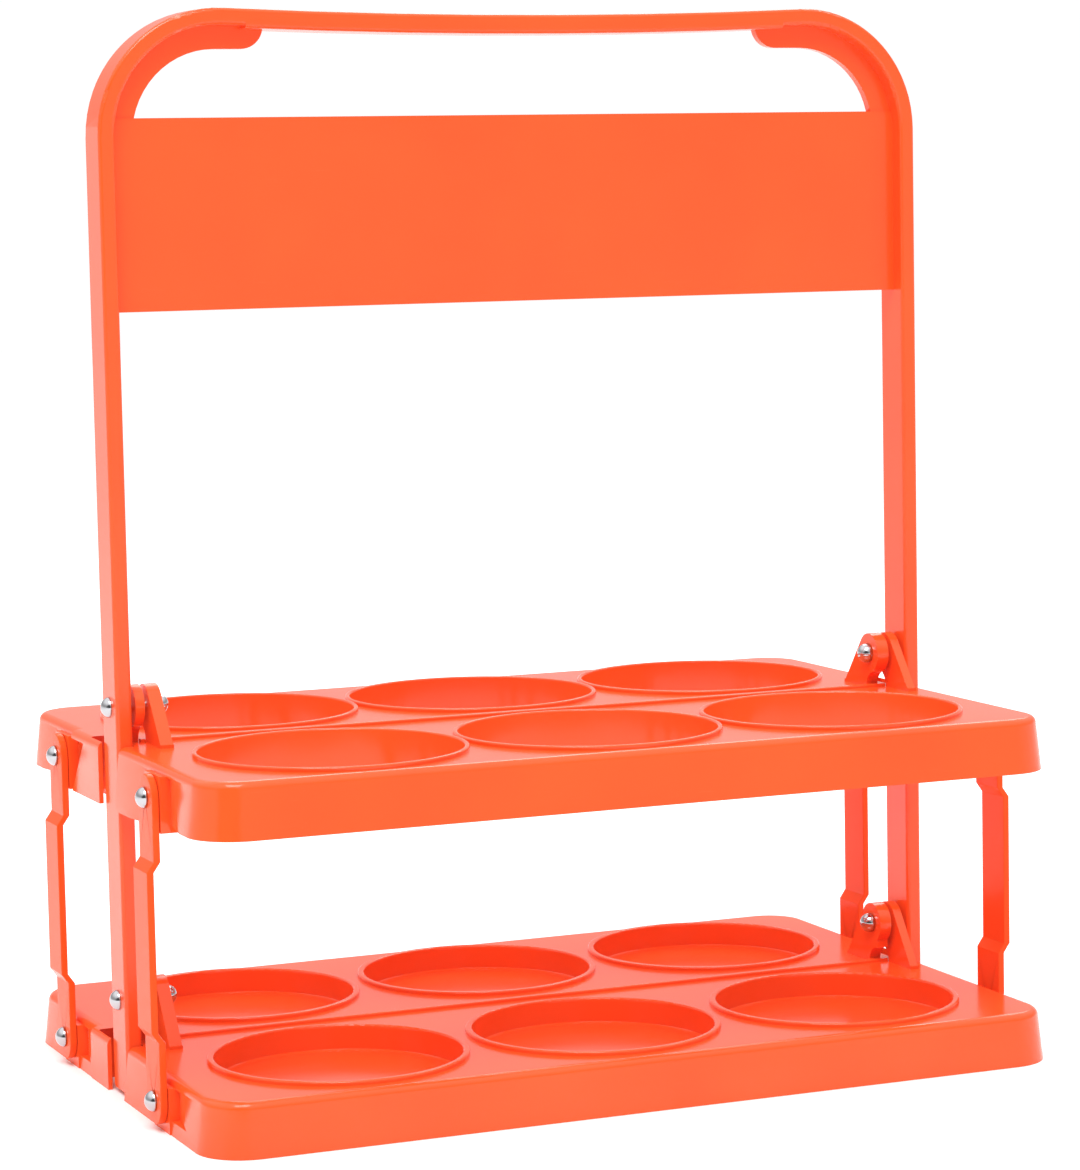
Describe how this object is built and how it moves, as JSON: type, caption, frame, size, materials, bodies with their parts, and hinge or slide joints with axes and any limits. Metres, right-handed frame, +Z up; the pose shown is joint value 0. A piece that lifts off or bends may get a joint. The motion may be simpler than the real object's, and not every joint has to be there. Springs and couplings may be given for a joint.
{
  "type": "bottle carrier",
  "caption": "Folding plastic bottle carrier: a lower tray with wells and an upper tray with holes, held level by side links under a tall carrying handle with a flat panel.",
  "frame": {"origin": "centre of the lower tray's underside, on the ground", "axes": "+X along the trays to the right, +Y to the rear, +Z up the handle"},
  "size_m": [0.2836, 0.1866, 0.3245],
  "materials": {
    "moulded_plastic": "satin injection-moulded plastic with a soft gloss",
    "plated_steel": "bright nickel plating"
  },
  "bodies": {
    "base": {"lower_tray": "moulded_plastic", "link_screw_lower_front_left": "plated_steel", "link_screw_lower_front_right": "plated_steel", "link_screw_lower_rear_left": "plated_steel", "link_screw_lower_rear_right": "plated_steel", "link_nut_lower_front_left": "plated_steel", "link_nut_lower_front_right": "plated_steel", "link_nut_lower_rear_left": "plated_steel", "link_nut_lower_rear_right": "plated_steel"},
    "handle": {"handle_frame": "moulded_plastic", "pivot_screw_lower_left": "plated_steel", "pivot_screw_lower_right": "plated_steel", "pivot_screw_upper_left": "plated_steel", "pivot_screw_upper_right": "plated_steel", "cap_nut_lower_left": "plated_steel", "cap_nut_lower_right": "plated_steel", "cap_nut_upper_left": "plated_steel", "cap_nut_upper_right": "plated_steel"},
    "upper_deck": {"upper_tray": "moulded_plastic", "link_screw_upper_front_left": "plated_steel", "link_screw_upper_front_right": "plated_steel", "link_screw_upper_rear_left": "plated_steel", "link_screw_upper_rear_right": "plated_steel", "link_nut_upper_front_left": "plated_steel", "link_nut_upper_front_right": "plated_steel", "link_nut_upper_rear_left": "plated_steel", "link_nut_upper_rear_right": "plated_steel"},
    "front_left_link": {"link_front_left": "moulded_plastic"},
    "front_right_link": {"link_front_right": "moulded_plastic"},
    "rear_left_link": {"link_rear_left": "moulded_plastic"},
    "rear_right_link": {"link_rear_right": "moulded_plastic"}
  },
  "joints": [
    {"name": "handle_fold", "type": "hinge", "parent": "base", "child": "handle", "pos_m": [0, 0, 0.0291], "axis": [1, 0, 0], "range_deg": [0, 40]},
    {"name": "upper_deck_level", "type": "hinge", "parent": "handle", "child": "upper_deck", "pos_m": [0, 0, 0.11786], "axis": [1, 0, 0], "range_deg": [-40, 0]},
    {"name": "link_front_left_swing", "type": "hinge", "parent": "base", "child": "front_left_link", "pos_m": [0, -0.0474, 0.00884], "axis": [1, 0, 0], "range_deg": [0, 40]},
    {"name": "link_front_right_swing", "type": "hinge", "parent": "base", "child": "front_right_link", "pos_m": [0, -0.0474, 0.00884], "axis": [1, 0, 0], "range_deg": [0, 40]},
    {"name": "link_rear_left_swing", "type": "hinge", "parent": "base", "child": "rear_left_link", "pos_m": [0, 0.0474, 0.00884], "axis": [1, 0, 0], "range_deg": [0, 40]},
    {"name": "link_rear_right_swing", "type": "hinge", "parent": "base", "child": "rear_right_link", "pos_m": [0, 0.0474, 0.00884], "axis": [1, 0, 0], "range_deg": [0, 40]}
  ],
  "couplings": [
    {"joint": "upper_deck_level", "follows": "handle_fold", "ratio": -1},
    {"joint": "link_front_left_swing", "follows": "handle_fold", "ratio": 1},
    {"joint": "link_front_right_swing", "follows": "handle_fold", "ratio": 1},
    {"joint": "link_rear_left_swing", "follows": "handle_fold", "ratio": 1},
    {"joint": "link_rear_right_swing", "follows": "handle_fold", "ratio": 1}
  ]
}
